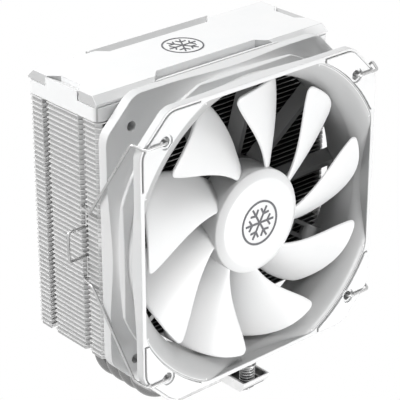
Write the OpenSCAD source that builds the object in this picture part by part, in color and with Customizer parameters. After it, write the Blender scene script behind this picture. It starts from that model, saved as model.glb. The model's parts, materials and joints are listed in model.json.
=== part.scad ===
// Single-tower processor cooler with one clipped-on fan.
// The origin is the centre of the contact face, +Z is up and the fan faces -Y.

/* [Fin stack] */
// Width of a fin from side to side
fin_width = 128; // [126:1:130]
// Depth of a fin from front to back
fin_depth = 46; // [44:1:48]
// Number of fins
fin_count = 49; // [40:1:49]
// Distance from one fin to the next
fin_pitch = 2.18; // [2.1:0.01:2.2]
// Thickness of the fin sheet
fin_sheet = 0.4; // [0.3:0.05:0.5]
// Height of the top face of the top fin
stack_top = 145.5; // [145:0.1:146]

/* [Heat pipes] */
// Outer diameter of a pipe
pipe_d = 6; // [5:0.5:6]
// Distance between pipes in the base
pipe_pitch = 8; // [7.5:0.1:8.5]
// Half the distance between the upright legs of one pipe
pipe_leg_x = 38.9; // [36:0.1:40]
// Bend radius of a pipe at its centre line
pipe_bend_r = 18; // [15:0.5:18]
// Height of the centre line of the level run
pipe_run_z = 3.8; // [3.5:0.1:4]

/* [Base] */
// Side of the contact plate
plate_side = 40; // [38:1:42]
// Depth of the base block
block_depth = 42; // [40:1:44]
// Height of the top of the base block
block_top = 11; // [10.5:0.1:11]

/* [Cross bar] */
// Distance between the two spring screws
screw_spacing = 83; // [82:0.5:84]
// Half the outer width of the bar
bar_half_w = 7.6; // [7:0.1:8]
// Thickness of the bar's sheet
bar_sheet = 1.5; // [1.2:0.1:1.6]
// Height of the flanges' top edges
bar_flange_top = 16.2; // [15.5:0.1:16.5]
// Radius of the spring screw's plain shank
shank_r = 1.95; // [1.9:0.01:1.96]
// Free height of a spring
spring_height = 8; // [8:0.5:9]
// Radius of the spring's centre line
spring_r = 3.05; // [3:0.05:3.2]
// Radius of the spring wire
spring_wire_r = 0.45; // [0.4:0.01:0.5]
// Coils in a spring
spring_turns = 5; // [4:1:6]

/* [Cover] */
// Height of the skirt's lower edge
skirt_bottom = 146; // [146:0.1:146.4]
// Height of the skirt's upper edge
skirt_top = 152; // [151.5:0.1:152.5]
// Height of the top plate's upper face
cover_top = 156.4; // [156:0.1:157]
// Depth of the skirt from front to back
cover_depth = 45; // [44:0.5:46]

/* [Fan] */
// Outer side of the fan frame
fan_side = 130.8; // [130:0.1:131]
// Depth of the fan frame
fan_depth = 25.2; // [25:0.1:25.5]
// Distance between the fan's screw holes
hole_spacing = 105; // [104.5:0.1:105.5]
// Radius of a screw hole
hole_r = 2.15; // [2.1:0.05:2.2]
// Radius of the duct
duct_r = 61.8; // [61.6:0.1:62]
// Height of the fan's centre
fan_centre_z = 91.5; // [91:0.1:92]
// Depth from the fan's front face to the origin
fan_front = 50; // [49.8:0.1:50.2]
// Number of fan blades
blade_count = 9; // [7:1:9]
// Radius of the hub
hub_r = 23; // [22.5:0.1:23]
// Radius of the blade tips
tip_r = 60.6; // [60:0.1:60.8]
// Thickness of a blade
blade_thickness = 1.5; // [1.2:0.1:1.8]
// Number of struts behind the blades
strut_count = 10; // [8:1:10]

/* [Clips] */
// Radius of the clip wire
wire_r = 0.6; // [0.55:0.05:0.75]
// Half the height between a clip's two hooks
hook_half = 17; // [15:0.5:18]
// Half the height of the finger loop
loop_half = 6.5; // [6:0.5:8]

/* [Hidden] */
$fn = 64;
eps = 0.01;

white = "white";
steel = "silver";
dark = "dimgray";

// ---- fin stack ----
pipe_r = pipe_d / 2;
tab_height = fin_pitch - 0.13;
tab_inset = 0.6;
fin_half_w = fin_width / 2;
fin_half_d = fin_depth / 2;
fin_corner = 2.3;
notch_depth = 3.1;
notch_lip = [10.2, 13.4];
notch_floor = [11.2, 13.8];

// Points down one side of a fin, from front to back, set in by d
function side_points(d) = [
    [fin_half_w - d - fin_corner, -fin_half_d + d],
    [fin_half_w - d, -fin_half_d + fin_corner + d / 2],
    [fin_half_w - d, -notch_lip[1] - d],
    [fin_half_w - d - notch_depth, -notch_floor[1] - d],
    [fin_half_w - d - notch_depth, -notch_floor[0] + d],
    [fin_half_w - d, -notch_lip[0] + d],
    [fin_half_w - d, notch_lip[0] - d],
    [fin_half_w - d - notch_depth, notch_floor[0] - d],
    [fin_half_w - d - notch_depth, notch_floor[1] + d],
    [fin_half_w - d, notch_lip[1] + d],
    [fin_half_w - d, fin_half_d - fin_corner - d / 2],
    [fin_half_w - d - fin_corner, fin_half_d - d]];

function flipped(points) = [for (i = [len(points) - 1:-1:0]) [-points[i].x, points[i].y]];

// The strip of tab along one side of a fin
function tab_points() = let (outer = side_points(tab_inset), inner = side_points(tab_inset + fin_sheet))
    concat(outer, [for (i = [len(inner) - 1:-1:0]) inner[i]]);

function pipe_y(i) = (i - 1.5) * pipe_pitch;

module pipe_places() {
    for (side = [-1, 1], i = [0:3]) translate([side * pipe_leg_x, pipe_y(i), 0]) children();
}

module fin() {
    difference() {
        union() {
            translate([0, 0, -fin_sheet])
                linear_extrude(fin_sheet) polygon(concat(side_points(0), flipped(side_points(0))));
            for (side = [0, 1]) mirror([side, 0, 0])
                translate([0, 0, -tab_height]) linear_extrude(tab_height - eps) polygon(tab_points());
        }
        pipe_places() translate([0, 0, -1]) cylinder(h = 2, r = pipe_r);
    }
}

module cooling_fins() {
    color(white)
        for (i = [0:fin_count - 1]) translate([0, 0, stack_top - i * fin_pitch]) fin();
}

// ---- heat pipes ----
pipe_top = 149;
pipe_cap = 1.5;
bend_z = pipe_run_z + pipe_bend_r;
bend_x = pipe_leg_x - pipe_bend_r;

module heat_pipe(i) {
    color(steel) translate([0, pipe_y(i), 0]) {
        translate([-bend_x, 0, pipe_run_z]) rotate([0, 90, 0]) cylinder(h = 2 * bend_x, r = pipe_r);
        for (side = [0, 1]) mirror([side, 0, 0]) {
            translate([bend_x, 0, bend_z]) rotate([90, 0, 0]) rotate([0, 0, -90])
                rotate_extrude(angle = 90) translate([pipe_bend_r, 0]) circle(r = pipe_r);
            translate([pipe_leg_x, 0, bend_z]) cylinder(h = pipe_top - bend_z - pipe_cap, r = pipe_r);
            translate([pipe_leg_x, 0, pipe_top - pipe_cap])
                cylinder(h = pipe_cap, r1 = pipe_r, r2 = pipe_r / 2, $fn = 64);
        }
    }
}

// ---- base ----
bar_screw_y = 8;
bar_screw_r = 1.5;
bar_screw_tip = 7.4;

module pipe_grooves() {
    for (i = [0:3]) translate([-plate_side, pipe_y(i), pipe_run_z]) rotate([0, 90, 0])
        cylinder(h = 2 * plate_side, r = pipe_r);
}

module slab(width, depth, bottom, top) {
    translate([-width / 2, -depth / 2, bottom]) cube([width, depth, top - bottom]);
}

module contact_plate() {
    color(steel) difference() {
        slab(plate_side, plate_side, 0, pipe_run_z);
        pipe_grooves();
    }
}

module base_block() {
    color(steel) difference() {
        slab(plate_side, block_depth, pipe_run_z, block_top);
        pipe_grooves();
        for (side = [-1, 1]) translate([0, side * bar_screw_y, bar_screw_tip - 0.2])
            cylinder(h = block_top, r = bar_screw_r);
        for (side = [-1, 1]) translate([side * (plate_side / 2 + 1), 0, block_top + 1])
            rotate([0, 45, 0]) cube([4, block_depth + 2, 4], center = true);
    }
}

// ---- cross bar and its spring screws ----
bar_top = block_top + bar_sheet;
flange_sheet = 1.1;
screw_y = screw_spacing / 2;
bar_end = screw_y + 5;
flange_end = screw_y + 6.7;
screw_hole_r = shank_r + 0.07;
ring_gap = 0.06;
ring_top = block_top - 0.1;
ring_thickness = 0.6;
groove_r = 1.3;
thread_r = 1.5;
screw_tip_z = 8.4;
head_bottom = bar_top + spring_height;

// Side view of a flange: the ends lean out towards the top
function flange_points() = [
    [-bar_end, block_top + 2], [-bar_end + 1.4, block_top], [bar_end - 1.4, block_top],
    [bar_end, block_top + 2], [flange_end, bar_flange_top - 0.8], [flange_end - 0.8, bar_flange_top],
    [-flange_end + 0.8, bar_flange_top], [-flange_end, bar_flange_top - 0.8]];

// Side view of the lip across an end, which leans out with the flanges
function lip_points() = [
    [bar_end - 2.5, block_top], [bar_end - 1.4, block_top], [bar_end, block_top + 2],
    [flange_end, bar_flange_top - 0.8], [flange_end - 0.8, bar_flange_top],
    [flange_end - 1.4, bar_flange_top - 0.3], [bar_end - 1.1, block_top + 2],
    [bar_end - 1.1, bar_top], [bar_end - 2.5, bar_top]];

module crossbar() {
    lip_w = 2 * bar_half_w - flange_sheet;
    color(dark) difference() {
        union() {
            slab(2 * bar_half_w - 1, 2 * bar_end - 3, block_top, bar_top);
            for (side = [-1, 1]) translate([side * (bar_half_w - flange_sheet / 2), 0, 0])
                rotate([90, 0, 90]) translate([0, 0, -flange_sheet / 2])
                    linear_extrude(flange_sheet) polygon(flange_points());
            for (flip = [0, 1]) mirror([0, flip, 0]) translate([-lip_w / 2, 0, 0])
                rotate([90, 0, 90]) linear_extrude(lip_w) polygon(lip_points());
        }
        for (side = [-1, 1]) translate([0, side * screw_y, block_top - 1])
            cylinder(h = bar_sheet + 2, r = screw_hole_r);
        for (side = [-1, 1]) translate([0, side * bar_screw_y, block_top - 1])
            cylinder(h = bar_sheet + 2, r = bar_screw_r + 0.1);
    }
}

module crossbar_screws() {
    head_h = 1.8;
    head_r = 2.75;
    color(steel) for (side = [-1, 1]) translate([0, side * bar_screw_y, 0]) difference() {
        union() {
            translate([0, 0, bar_screw_tip]) cylinder(h = bar_top - bar_screw_tip, r = bar_screw_r);
            translate([0, 0, bar_top]) cylinder(h = head_h, r = head_r);
        }
        cross_recess(bar_top + head_h, 3.2);
    }
}

// A cross-shaped driver recess, cut down from height z
module cross_recess(z, span) {
    depth = 1.1;
    blade = 0.7;
    for (turn = [0, 90]) rotate([0, 0, turn])
        translate([-span / 2, -blade / 2, z - depth]) cube([span, blade, depth + 1]);
}

module spring_screw(side) {
    washer_h = 0.8;
    head_h = 2.6;
    head_r = 3.1;
    washer_r = 3.9;
    groove_bottom = ring_top - ring_thickness - ring_gap;
    color(steel) translate([0, side * screw_y, 0]) difference() {
        union() {
            translate([0, 0, screw_tip_z]) cylinder(h = groove_bottom - screw_tip_z, r = thread_r);
            translate([0, 0, groove_bottom - eps])
                cylinder(h = ring_thickness + 2 * ring_gap + 2 * eps, r = groove_r);
            translate([0, 0, ring_top + ring_gap])
                cylinder(h = head_bottom - ring_top - ring_gap, r = shank_r);
            translate([0, 0, head_bottom]) cylinder(h = washer_h, r = washer_r);
            translate([0, 0, head_bottom + washer_h]) cylinder(h = head_h, r = head_r);
        }
        cross_recess(head_bottom + washer_h + head_h, 4);
    }
}

module retaining_ring(side) {
    color(dark) translate([0, side * screw_y, ring_top - ring_thickness]) difference() {
        cylinder(h = ring_thickness, r = 3.2);
        translate([0, 0, -1]) cylinder(h = 3, r = groove_r + 0.05);
        translate([0, -0.9, -1]) cube([5, 1.8, 3]);
    }
}

// A coil spring swept as rings of points along a helix, with closed flat ends
module coil_spring(side) {
    steps = spring_turns * 18;
    sides = 8;
    rise = spring_height - 2 * spring_wire_r - 0.1;
    function helix_z(k) = spring_wire_r + 0.05 + rise * k / steps;
    rings = [for (k = [0:steps]) let (turn = 20 * k) [for (j = [0:sides - 1])
        let (a = 360 * j / sides, out = spring_r + spring_wire_r * cos(a))
        [out * cos(turn), out * sin(turn), helix_z(k) + spring_wire_r * sin(a)]]];
    points = [for (ring = rings) for (p = ring) p];
    sides_faces = [for (k = [0:steps - 1], j = [0:sides - 1]) let (n = (j + 1) % sides)
        [k * sides + j, k * sides + n, (k + 1) * sides + n, (k + 1) * sides + j]];
    start_face = [[for (j = [sides - 1:-1:0]) j]];
    end_face = [[for (j = [0:sides - 1]) steps * sides + j]];
    color(steel) translate([0, side * screw_y, bar_top])
        polyhedron(points = points, faces = concat(sides_faces, start_face, end_face), convexity = 8);
}

// ---- cover ----
cover_half_d = cover_depth / 2;
skirt_wall = 1.6;
skirt_corner = 3;
deck_bottom = skirt_top - 1.4;
groove_line = 0.4;
plate_inset = 0.8;
bevel_run = 3.3;
bevel_drop = 3;
end_notch = 10.3;
long_notch = 31.3;
cover_notch = 4.2;
tab_gap = 0.7;
tab_top = cover_top - 0.5;
tab_slope = 25;
plate_screw_x = 22;

// A rectangle with rounded corners, made of true arcs
module rounded_plan(half_x, half_y, r) {
    square([2 * (half_x - r), 2 * half_y], center = true);
    square([2 * half_x, 2 * (half_y - r)], center = true);
    for (sx = [-1, 1], sy = [-1, 1]) translate([sx * (half_x - r), sy * (half_y - r)]) circle(r = r);
}

// The trapezoid let into each edge of the top plate, with its mouth outwards
module edge_trapezoid(half_mouth, depth, over) {
    polygon([[-half_mouth - over, over], [half_mouth + over, over],
        [half_mouth - depth, -depth], [-half_mouth + depth, -depth]]);
}

module notch_plans(shrink) {
    top_half_d = cover_half_d - bevel_run;
    top_half_w = fin_half_w - plate_inset;
    for (turn = [0, 180]) rotate([0, 0, turn]) {
        translate([0, top_half_d]) edge_trapezoid(long_notch - shrink, cover_notch - shrink, 5);
        translate([top_half_w, 0]) rotate([0, 0, -90])
            edge_trapezoid(end_notch - shrink, cover_notch - shrink, 3);
    }
}

module top_cover() {
    color(white) difference() {
        union() {
            translate([0, 0, skirt_bottom]) linear_extrude(skirt_top - skirt_bottom)
                rounded_plan(fin_half_w, cover_half_d, skirt_corner);
            // tabs that stand up into the plate's notches
            translate([0, 0, skirt_top - eps]) linear_extrude(tab_top - skirt_top + eps) intersection() {
                rounded_plan(fin_half_w, cover_half_d, skirt_corner);
                notch_plans(tab_gap);
            }
        }
        translate([0, 0, skirt_bottom - 1]) linear_extrude(deck_bottom - skirt_bottom + 1)
            rounded_plan(fin_half_w - skirt_wall, cover_half_d - skirt_wall, 1.5);
        for (side = [-1, 1]) translate([side * plate_screw_x, 0, deck_bottom - 1])
            cylinder(h = 4, r = 1.35);
        // the tabs' tops lean down towards the middle of the cover
        for (turn = [0, 180]) rotate([0, 0, turn]) {
            translate([0, cover_half_d - 0.8, tab_top]) rotate([tab_slope, 0, 0])
                translate([-50, -8, 0]) cube([100, 8, 6]);
            translate([fin_half_w - 0.8, 0, tab_top]) rotate([0, -tab_slope, 0])
                translate([-8, -20, 0]) cube([8, 40, 6]);
        }
    }
    color(white) for (i = [0, 3], side = [-1, 1])
        translate([side * pipe_leg_x, pipe_y(i), stack_top]) difference() {
            cylinder(h = deck_bottom - stack_top + eps, r = pipe_r + 1.2);
            translate([0, 0, -1]) cylinder(h = pipe_top - stack_top + 1, r = pipe_r);
        }
}

module top_plate() {
    plate_bottom = skirt_top;
    body_bottom = skirt_top + groove_line;
    top_half_d = cover_half_d - bevel_run;
    lower_half_d = cover_half_d - 0.3;
    bevel_z = cover_top - bevel_drop;
    color(white) difference() {
        union() {
            intersection() {
                rotate([90, 0, 90]) translate([0, 0, -fin_half_w]) linear_extrude(2 * fin_half_w)
                    polygon([[-lower_half_d, body_bottom], [lower_half_d, body_bottom],
                        [lower_half_d, bevel_z], [top_half_d, cover_top],
                        [-top_half_d, cover_top], [-lower_half_d, bevel_z]]);
                rotate([90, 0, 0]) translate([0, 0, -cover_half_d]) linear_extrude(2 * cover_half_d)
                    polygon([[-fin_half_w + 0.1, body_bottom], [fin_half_w - 0.1, body_bottom],
                        [fin_half_w - plate_inset, cover_top], [-fin_half_w + plate_inset, cover_top]]);
            }
            slab(2 * fin_half_w - 3, cover_depth - 3, plate_bottom, body_bottom + eps);
        }
        translate([0, 0, skirt_top - 1]) linear_extrude(10) notch_plans(0);
        for (side = [-1, 1]) translate([side * plate_screw_x, 0, plate_bottom - 1])
            cylinder(h = 3, r = 1.1);
    }
}

// A six-armed snow crystal inside a ring, as a flat generic mark
module crystal(ring_r, line, height) {
    linear_extrude(height) {
        difference() {
            circle(r = ring_r);
            circle(r = ring_r - line);
        }
        for (turn = [0:60:300]) rotate(turn) {
            translate([0, -line / 2]) square([ring_r * 0.78, line]);
            for (lean = [-1, 1]) translate([ring_r * 0.42, 0]) rotate(lean * 55)
                translate([0, -line / 2]) square([ring_r * 0.3, line]);
        }
    }
}

module cover_badge() {
    color(dark) translate([0, 0, cover_top]) crystal(9, 0.6, 0.2);
}

module cover_screws() {
    color(steel) for (side = [-1, 1]) translate([side * plate_screw_x, 0, 0]) {
        translate([0, 0, deck_bottom - 1.2]) cylinder(h = 1.2, r = 2.2);
        translate([0, 0, deck_bottom - eps]) cylinder(h = 3.2, r = 1.1);
    }
}

// ---- fan ----
fan_half = fan_side / 2;
corner_cut = 116;
corner_r = 9;
flange_front = 3.9;
flange_rear = 20.4;
wall_r = 63.9;
bell_r = 70.4;
bell_flat = 63.1;
bell_depth = 8;
pad_height = 0.8;
rear_pad_height = 1.6;
pad_end = 34.5;

// Fan coordinates: x across, y up, z from the front face to the back
module fan_space() {
    translate([0, -fan_front, fan_centre_z]) rotate([-90, 0, 0]) mirror([0, 1, 0]) children();
}

// The frame's outline set in by d: a square with cut, rounded corners
function fan_outline(d) = let (half = fan_half - d, cut = corner_cut - 1.414 * d, r = corner_r - d,
        v = cut - half - r * tan(22.5))
    [for (q = [0:3], c = [0, 1], i = [0:5]) let (
        a = 45 * c + 9 * i + 90 * q,
        cx = c == 0 ? half - r : v, cy = c == 0 ? v : half - r)
        [cx * cos(90 * q) - cy * sin(90 * q) + r * cos(a),
         cx * sin(90 * q) + cy * cos(90 * q) + r * sin(a)]];

module fan_holes() {
    for (sx = [-1, 1], sy = [-1, 1])
        translate([sx * hole_spacing / 2, sy * hole_spacing / 2, -1]) children();
}

// Half section of the frame: the duct, two flanges, a rib between them and round roots
function frame_section() = concat(
    [[duct_r, 0], [96, 0], [96, flange_front]],
    [for (a = [0:15:90]) [74 - (74 - wall_r) * sin(a), 8.6 - (8.6 - flange_front) * cos(a)]],
    [[wall_r, 10.2], [70, 10.8], [70, 12.4], [wall_r, 14.6]],
    [for (a = [90:-15:0]) [74 - (74 - wall_r) * sin(a), 14.9 + (flange_rear - 14.9) * cos(a)]],
    [[96, flange_rear], [96, fan_depth], [duct_r + flare, fan_depth], [duct_r, flare_front]]);

// The bell mouth, a quarter ellipse that runs just into the duct
function bell_section() = let (low_r = duct_r - 0.3) concat(
    [[duct_r - 9, -1], [bell_r, -1]],
    [for (a = [0:10:90]) [low_r + (bell_r - low_r) * (1 - sin(a)), bell_depth * (1 - cos(a))]],
    [[duct_r - 9, bell_depth]]);

flare = 1.5;
flare_front = 21;
strut_front = 20;
strut_lean = 35;
strut_end = duct_r + 2.6;
base_r = 23;
base_front = 19.6;
tube_outer_r = 4.2;
tube_inner_r = 3;
tube_front = 7;
cable_angle = -33;

module strut_block(side_low, side_high) {
    translate([base_r - 1, side_low, strut_front])
        cube([strut_end - base_r + 1, side_high - side_low, fan_depth - strut_front]);
}

module strut() {
    intersection() {
        strut_block(-8, 16);
        translate([0, 2.5, strut_front]) rotate([-strut_lean, 0, 0])
            translate([base_r - 2, -0.9, -4]) cube([strut_end - base_r + 4, 1.8, 16]);
    }
}

module cable_channel() {
    width = 7.3;
    floor_z = strut_front + 1.6;
    difference() {
        strut_block(-0.6, width - 0.6);
        translate([43, 1.2, strut_front - 1]) cube([7, 3.8, fan_depth]);
        translate([base_r + 1, 0.8, floor_z]) cube([strut_end - base_r + 4, width - 2.8, fan_depth]);
    }
}

// The motor's seat: a disc with the bearing tube in front and a recess for the label behind
module motor_seat() {
    rotate_extrude() polygon([[tube_inner_r, tube_front], [tube_outer_r, tube_front],
        [tube_outer_r, base_front], [base_r, base_front], [base_r, fan_depth], [label_r, fan_depth],
        [label_r, fan_depth - label_h], [0, fan_depth - label_h], [0, base_front + 3],
        [tube_inner_r, base_front + 3]]);
}

module fan_frame() {
    color(white) fan_space() {
        difference() {
            intersection() {
                rotate_extrude($fn = 128) polygon(frame_section());
                linear_extrude(fan_depth) polygon(fan_outline(0));
            }
            intersection() {
                rotate_extrude($fn = 128) polygon(bell_section());
                translate([-bell_flat, -bell_flat, -2]) cube([2 * bell_flat, 2 * bell_flat, 20]);
            }
            fan_holes() cylinder(h = fan_depth + 2, r = hole_r);
            // the cable's way out through the rear edge
            rotate(cable_angle) translate([duct_r - 2, 0.8, strut_front + 1.6]) cube([14, 4.5, fan_depth]);
        }
        for (i = [0:strut_count - 2]) rotate(1 + 360 / strut_count * i) strut();
        rotate(cable_angle) cable_channel();
        motor_seat();
    }
}

module pads(height) {
    linear_extrude(height) difference() {
        polygon(fan_outline(1.4));
        circle(r = bell_r + 0.9, $fn = 128);
        square([2 * fan_side, 2 * pad_end], center = true);
        square([2 * pad_end, 2 * fan_side], center = true);
        for (sx = [-1, 1], sy = [-1, 1])
            translate([sx * hole_spacing / 2, sy * hole_spacing / 2]) circle(r = 3.2);
    }
}

module front_corner_pads() {
    color(white) fan_space() translate([0, 0, -pad_height]) pads(pad_height);
}

module rear_corner_pads() {
    color(white) fan_space() translate([0, 0, fan_depth]) pads(rear_pad_height);
}

// ---- impeller ----
cap_r = 19.8;
cap_front = 2;
hub_back = 18.9;
cup_r = 21.4;
cup_floor = 4.6;
lead_tip_angle = 23.5;
blade_root = hub_r - 0.7;
tip_round = 3;
rows = 9;
tip_rows = 4;
columns = 12;

// Radius of each row of blade points: even steps, then closer ones round the tip
function row_r(i) = i <= rows ? blade_root + (tip_r - tip_round - blade_root) * i / rows
    : tip_r - tip_round + tip_round * sin(90 * (i - rows) / tip_rows);

function span_part(r) = (r - hub_r) / (tip_r - hub_r);

// Angle by which a blade's corner is trimmed near its tip
function corner_trim(r) = let (k = max(0, (r - tip_r + tip_round) / tip_round))
    tip_round * (1 - sqrt(max(0, 1 - k * k))) / r * 57.3;

function lead_angle(r) = lead_tip_angle - 28.5 * pow(1 - min(1, span_part(r)), 1.65) - corner_trim(r);
function trail_angle(r) = lead_tip_angle - 55.5 + 21 * span_part(r) + corner_trim(r);
function lead_depth(t) = 5.1 - 3.9 * t;

// Depth of the blade's middle surface at span part t and chord part s
function blade_depth(t, s) = let (a = 0.25 * (1 - t))
    lead_depth(t) + 0.6 + (17.4 - lead_depth(t)) * (a * s + (1 - a) * pow(s, 2.2 + 0.3 * t));

function blade_point(r, s) = let (a = lead_angle(r) + (trail_angle(r) - lead_angle(r)) * s)
    [r * cos(a), r * sin(a), blade_depth(span_part(r), s)];

function unit(v) = v / norm(v);

// Direction across the blade's thickness
function blade_normal(r, s) = let (ds = 0.01, rr = min(r, tip_r - tip_round))
    unit(cross(blade_point(rr, min(1, s + ds)) - blade_point(rr, max(0, s - ds)),
        blade_point(rr + 0.2, s) - blade_point(rr - 0.2, s)));

function half_thickness(s) = blade_thickness / 2 * (0.45 + 0.55 * pow(sin(180 * s), 0.4));

function blade_face(sign) = [for (i = [0:rows + tip_rows], j = [0:columns])
    let (r = row_r(i), s = j / columns) blade_point(r, s) + sign * half_thickness(s) * blade_normal(r, s)];

module blade() {
    n = columns + 1;
    m = rows + tip_rows + 1;
    count = n * m;
    upper = [for (i = [0:m - 2], j = [0:n - 2]) each [
        [(i + 1) * n + j + 1, i * n + j + 1, i * n + j], [(i + 1) * n + j, (i + 1) * n + j + 1, i * n + j]]];
    lower = [for (f = upper) [f[2] + count, f[1] + count, f[0] + count]];
    rim = concat([for (j = [0:n - 1]) j], [for (i = [1:m - 1]) i * n + n - 1],
        [for (j = [n - 2:-1:0]) (m - 1) * n + j], [for (i = [m - 2:-1:1]) i * n]);
    edge = [for (k = [0:len(rim) - 1]) let (p = rim[k], q = rim[(k + 1) % len(rim)])
        each [[p + count, p, q], [q + count, p + count, q]]];
    polyhedron(points = concat(blade_face(1), blade_face(-1)), faces = concat(upper, lower, edge));
}

module hub() {
    rotate_extrude($fn = 96) polygon([[1.4, cap_front], [cap_r, cap_front], [hub_r, cap_front + 2],
        [hub_r, hub_back], [cup_r, hub_back], [cup_r, cup_floor], [3, cup_floor], [3, cup_floor + 1.2],
        [1.4, cup_floor + 1.2]]);
}

module impeller() {
    color(white) fan_space() {
        hub();
        translate([0, 0, cap_front]) cylinder(h = 1, r = 2);
        for (i = [0:blade_count - 1]) rotate(360 / blade_count * i) blade();
    }
}

module hub_badge() {
    color(dark) fan_space() translate([0, 0, cap_front - 0.2]) crystal(10, 0.9, 0.2);
}

// ---- motor ----
yoke_front = cup_floor;
yoke_inner_r = 20.4;
magnet_inner_r = 18.7;
shaft_r = 1.4;
shaft_back = 21.2;
core_r = 18.2;
core_front = 8.6;
core_back = 14.6;
tooth_count = 6;
tooth_half_w = 2;
board_front = 17.2;
label_r = 19;
label_h = 0.2;
retainer_z = 20.2;

module ring(r_in, r_out, z0, z1) {
    translate([0, 0, z0]) difference() {
        cylinder(h = z1 - z0, r = r_out);
        translate([0, 0, -1]) cylinder(h = z1 - z0 + 2, r = r_in);
    }
}

module rotor_yoke() {
    color(steel) fan_space() {
        ring(yoke_inner_r, cup_r, yoke_front, hub_back - 0.8);
        ring(3, cup_r, yoke_front, yoke_front + 0.9);
    }
}

module magnet_ring() {
    color(dark) fan_space() ring(magnet_inner_r, yoke_inner_r, yoke_front + 1.5, hub_back - 1.4);
}

module shaft() {
    color(steel) fan_space() {
        translate([0, 0, cap_front + 1]) cylinder(h = retainer_z - 0.05 - cap_front - 1, r = shaft_r);
        translate([0, 0, retainer_z - 0.06]) cylinder(h = 0.6, r = shaft_r - 0.4);
        translate([0, 0, retainer_z + 0.5]) cylinder(h = shaft_back - retainer_z - 0.5, r = shaft_r);
    }
}

module bearing_sleeve() {
    color("goldenrod") fan_space() ring(shaft_r + 0.05, tube_inner_r, tube_front + 0.2, retainer_z - 0.4);
}

module bearing_retainer() {
    color(steel) fan_space() ring(shaft_r - 0.35, tube_inner_r, retainer_z, retainer_z + 0.4);
}

module stator_lamination() {
    difference() {
        union() {
            circle(r = 7.5);
            for (i = [0:tooth_count - 1]) rotate(60 * i) {
                translate([0, -tooth_half_w]) square([core_r - 0.6, 2 * tooth_half_w]);
                intersection() {
                    difference() {
                        circle(r = core_r);
                        circle(r = core_r - 1.8);
                    }
                    polygon([[0, 0], [30, -14], [30, 14]]);
                }
            }
        }
        circle(r = tube_outer_r);
    }
}

module stator_core() {
    color(dark) fan_space() translate([0, 0, core_front])
        linear_extrude(core_back - core_front) stator_lamination();
}

module stator_coils() {
    build = 1.5;
    inner = tooth_half_w + 0.05;
    color("peru") fan_space() for (i = [0:tooth_count - 1]) rotate(60 * i)
        translate([10, 0, (core_front + core_back) / 2]) difference() {
            translate([0, -inner - build, (core_front - core_back) / 2 - build])
                cube([5.6, 2 * (inner + build), core_back - core_front + 2 * build]);
            translate([-1, -inner, (core_front - core_back) / 2 - 0.05])
                cube([8, 2 * inner, core_back - core_front + 0.1]);
        }
}

module circuit_board() {
    color("seagreen") fan_space() ring(tube_outer_r, 17, board_front, board_front + 1);
}

module motor_label() {
    color("lightgray") fan_space() translate([0, 0, fan_depth - label_h]) cylinder(h = label_h, r = label_r);
}

// ---- wire clips ----
clip_z = fan_centre_z - 1;
hole_x = hole_spacing / 2;
hole_z = hole_spacing / 2;
clip_front_y = -fan_front - pad_height - wire_r - 0.3;
clip_side_x = fan_half + wire_r + 0.4;
hook_y = -11.8;
hook_x = fin_half_w - 1.7;
groove_out_x = fin_half_w + 1.3;
knee_rise = 1.7;

// The right clip's centre line, from the top hole to the bottom one
clip_points = [
    [hole_x, -fan_front + 3.6, fan_centre_z + hole_z],
    [hole_x, clip_front_y, fan_centre_z + hole_z],
    [clip_side_x - 2.2, clip_front_y, fan_centre_z + hole_z],
    [clip_side_x, -fan_front + 3.7, fan_centre_z + hole_z + knee_rise],
    [clip_side_x, -19.3, clip_z + hook_half - 0.5],
    [groove_out_x, hook_y, clip_z + hook_half - 0.8],
    [hook_x, hook_y, clip_z + hook_half],
    [hook_x, hook_y, clip_z + loop_half],
    [hook_x + 9.6, hook_y, clip_z + loop_half + 0.3],
    [hook_x + 9.6, hook_y, clip_z - loop_half - 0.3],
    [hook_x, hook_y, clip_z - loop_half],
    [hook_x, hook_y, clip_z - hook_half],
    [groove_out_x, hook_y, clip_z - hook_half + 0.8],
    [clip_side_x, -19.3, clip_z - hook_half + 0.5],
    [clip_side_x, -fan_front + 4.5, fan_centre_z - hole_z + knee_rise],
    [clip_side_x - 2.2, clip_front_y, fan_centre_z - hole_z],
    [hole_x, clip_front_y, fan_centre_z - hole_z],
    [hole_x, -fan_front + 3.6, fan_centre_z - hole_z]];

// The path with each corner turned into a short curve
function rounded_path(points, size) = let (last = len(points) - 1) concat([points[0]],
    [for (i = [1:last - 1]) let (p = points[i],
        back = points[i - 1] - p, ahead = points[i + 1] - p,
        from = p + back / norm(back) * min(size, norm(back) * 0.45),
        to = p + ahead / norm(ahead) * min(size, norm(ahead) * 0.45))
        each [for (u = [0:0.25:1]) (1 - u) * (1 - u) * from + 2 * u * (1 - u) * p + u * u * to]],
    [points[last]]);

// A direction square to t that stays as near to u as it can
function carried(u, t) = unit(u - (u * t) * t);

// Round wire along a path, as one closed mesh
module wire(path) {
    sides = 10;
    last = len(path) - 1;
    heading = [for (i = [0:last]) unit(path[min(last, i + 1)] - path[max(0, i - 1)])];
    across = [for (i = 0, u = carried([0.2, 0, 1], heading[0]); i <= last;
        i = i + 1, u = carried(u, heading[min(i, last)])) u];
    points = [for (i = [0:last], j = [0:sides - 1]) let (a = 360 * j / sides)
        path[i] + wire_r * (cos(a) * across[i] + sin(a) * cross(heading[i], across[i]))];
    walls = [for (i = [0:last - 1], j = [0:sides - 1]) let (n = (j + 1) % sides)
        [(i + 1) * sides + j, (i + 1) * sides + n, i * sides + n, i * sides + j]];
    start_face = [[for (j = [0:sides - 1]) j]];
    end_face = [[for (j = [sides - 1:-1:0]) last * sides + j]];
    polyhedron(points = points, faces = concat(walls, start_face, end_face), convexity = 8);
}

module clip() {
    wire(rounded_path(clip_points, 1.6));
}

module right_clip() {
    color(steel) clip();
}

module left_clip() {
    color(steel) mirror([1, 0, 0]) clip();
}

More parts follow.
